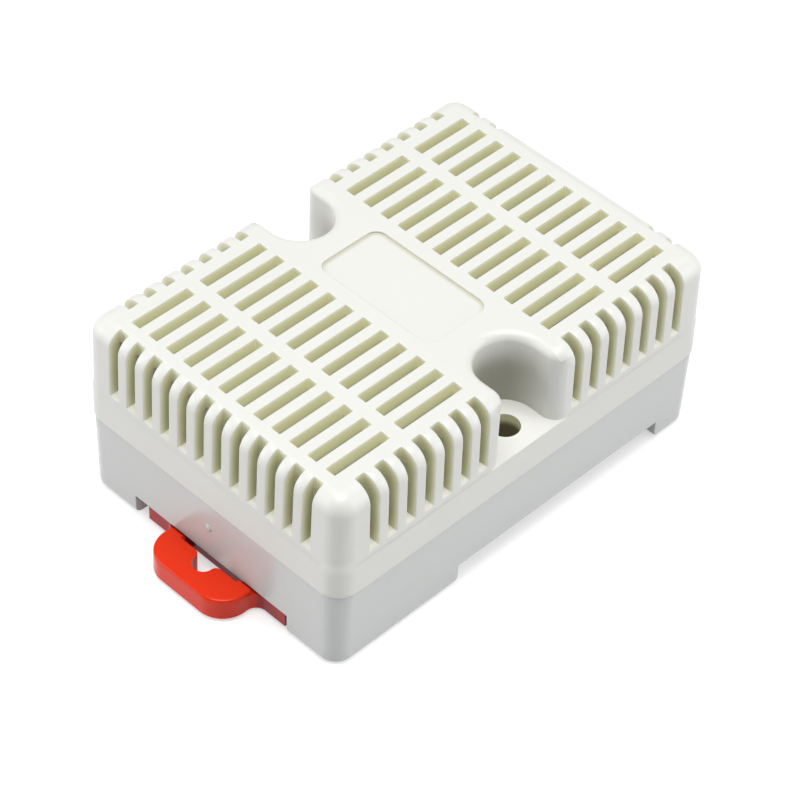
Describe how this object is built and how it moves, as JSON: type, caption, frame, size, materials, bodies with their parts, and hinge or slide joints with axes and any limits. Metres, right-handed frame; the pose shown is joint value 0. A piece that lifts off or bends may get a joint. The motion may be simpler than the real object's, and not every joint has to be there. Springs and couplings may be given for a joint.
{
  "type": "din rail enclosure",
  "caption": "Slotted two-part plastic case for a circuit board, with screw pockets in its sides and a sliding clip that holds it on a 35 mm top-hat rail.",
  "frame": {"origin": "rail seat: on the rail's centreline, at the middle of the case's width, in the plane that the rail's flange bears on", "axes": "+X runs across the rail from the clip to the fixed hooks, +Y along the rail, +Z away from the rail towards the cover"},
  "size_m": [0.0702, 0.045, 0.028],
  "materials": {
    "cover_plastic": "fine satin moulded ABS, warm off-white",
    "base_plastic": "smooth moulded ABS, cool off-white",
    "clip_plastic": "glossy orange-red moulded plastic"
  },
  "bodies": {
    "case": {"top_cover": "cover_plastic", "base": "base_plastic"},
    "clip": {"rail_clip": "clip_plastic"}
  },
  "joints": [
    {"name": "clip_slide", "type": "slide", "parent": "case", "child": "clip", "axis": [-1, 0, 0], "range_m": [0, 0.004]}
  ]
}
